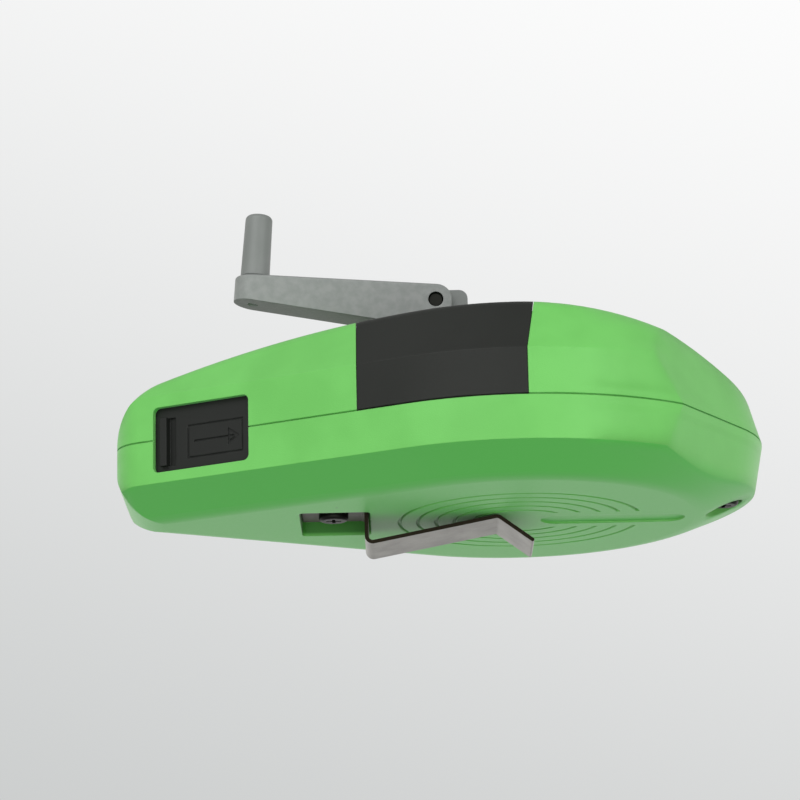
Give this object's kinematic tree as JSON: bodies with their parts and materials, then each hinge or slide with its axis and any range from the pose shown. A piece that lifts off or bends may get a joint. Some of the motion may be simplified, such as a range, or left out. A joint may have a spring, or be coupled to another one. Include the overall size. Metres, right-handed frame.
{
  "type": "hand-cranked marking line reel",
  "caption": "Teardrop hand reel for a marking line: two-part case, fold-over geared crank, sliding fill door and belt clip.",
  "frame": {"origin": "under the crank's axis, at the height of the belt clip's lowest point, which is the middle of the object's plan", "axes": "+Z along the crank's axis, away from the belt clip; -X towards the nose where the line leaves; the filling door is in the side at -Y"},
  "size_m": [0.1719, 0.13, 0.0942],
  "materials": {
    "green_shell": "fine matte moulded, satin sheen",
    "black_plastic": "satin black moulded",
    "grey_die_cast": "grey satin paint",
    "grey_plastic": "satin grey moulded",
    "spring_steel": "satin bright steel",
    "screw_steel": "dark zinc",
    "steel_pin": "ground",
    "white_nylon": "off-white nylon",
    "natural_plastic": "moulded, natural",
    "felt": "pressed felt",
    "line_cord": "twisted cotton cord"
  },
  "bodies": {
    "case": {"back_shell": "green_shell", "front_shell": "green_shell", "front_panel": "black_plastic", "gear_plate": "natural_plastic", "plate_screws": "screw_steel", "panel_screws": "screw_steel", "rear_screw": "screw_steel", "clip_screw": "screw_steel", "belt_clip": "spring_steel", "outlet_bush": "white_nylon", "line_wiper": "felt", "spool_axle": "steel_pin", "axle_washers": "white_nylon", "neck_seal": "felt", "hub_bush": "white_nylon"},
    "crank": {"crank_hub": "grey_plastic", "drive_gear": "white_nylon", "gear_washer": "steel_pin", "gear_screw": "screw_steel"},
    "arm": {"crank_arm": "grey_die_cast", "hinge_pin": "screw_steel", "knob_spindle": "steel_pin"},
    "knob": {"crank_knob": "grey_plastic"},
    "reel": {"spool": "natural_plastic", "spool_gear": "white_nylon", "line_pack": "line_cord"},
    "door": {"fill_door": "black_plastic"}
  },
  "joints": [
    {"name": "crank_turn", "type": "hinge", "parent": "case", "child": "crank", "pos_m": [0, 0, 0.0588], "axis": [0, 0, 1], "continuous": true},
    {"name": "arm_fold", "type": "hinge", "parent": "crank", "child": "arm", "pos_m": [0, 0, 0.0682], "axis": [0, 1, 0], "range_deg": [0, 165]},
    {"name": "knob_spin", "type": "hinge", "parent": "arm", "child": "knob", "pos_m": [-0.04808, 0, 0.08594], "axis": [0.0767, 0, 0.9971], "continuous": true},
    {"name": "reel_spin", "type": "hinge", "parent": "case", "child": "reel", "pos_m": [0.021, 0, 0.0258], "axis": [0, 0, 1], "continuous": true},
    {"name": "door_slide", "type": "slide", "parent": "case", "child": "door", "axis": [0.891, -0.454, 0], "range_m": [0, 0.024]}
  ],
  "couplings": [
    {"joint": "reel_spin", "follows": "crank_turn", "ratio": -3}
  ]
}
